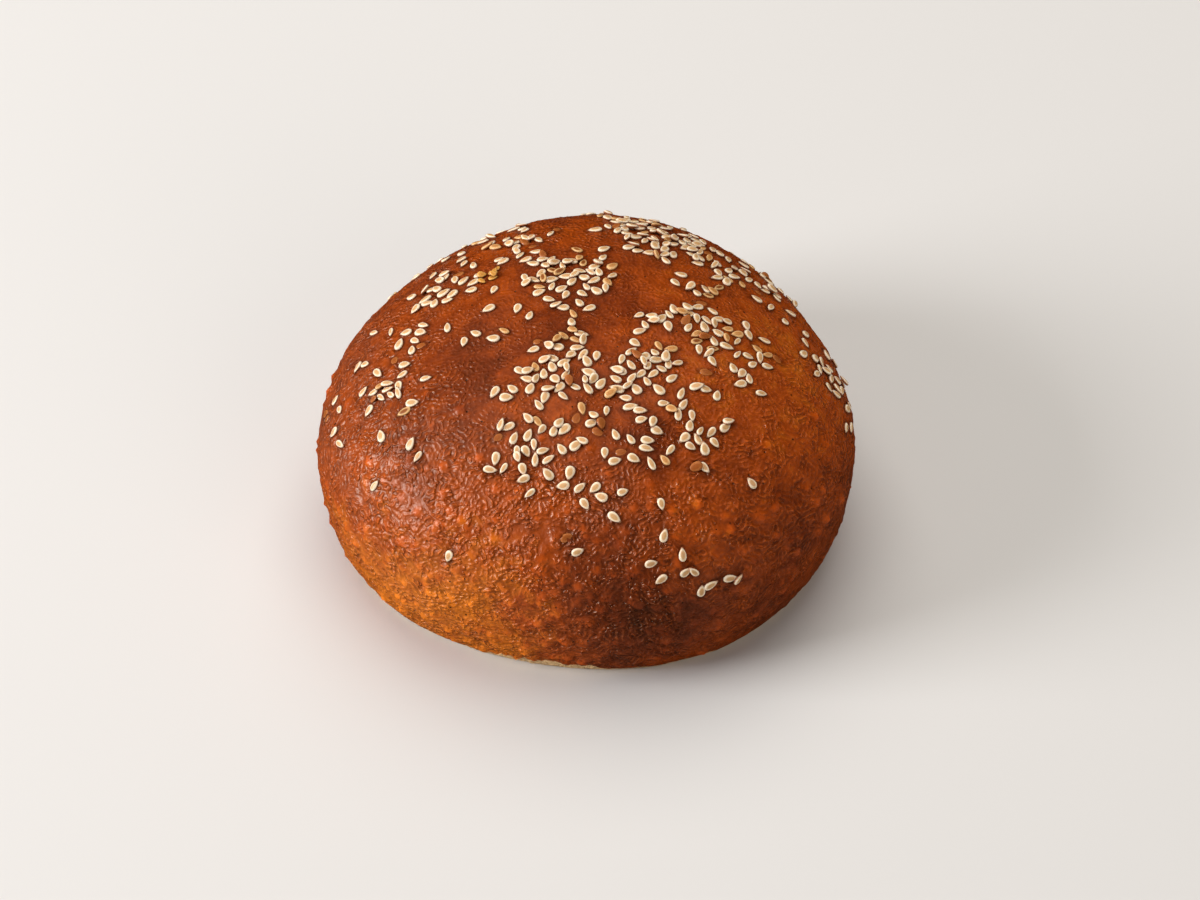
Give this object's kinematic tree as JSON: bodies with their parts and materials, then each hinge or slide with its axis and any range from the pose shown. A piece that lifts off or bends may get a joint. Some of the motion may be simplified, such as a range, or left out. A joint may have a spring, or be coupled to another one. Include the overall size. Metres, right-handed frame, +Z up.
{
  "type": "round sesame bread",
  "caption": "Round domed bread with a glossy brown crust, sesame seeds scattered over the top and a flat base to rest on.",
  "frame": {"origin": "middle of the flat base, on the surface that the bread stands on", "axes": "+X across the widest side, to the right as pictured; -Y towards the viewer; +Z up"},
  "size_m": [0.118, 0.112, 0.0556],
  "materials": {
    "crust": "satin",
    "sesame": "satin"
  },
  "bodies": {
    "root": {"loaf": "crust"}
  },
  "joints": []
}
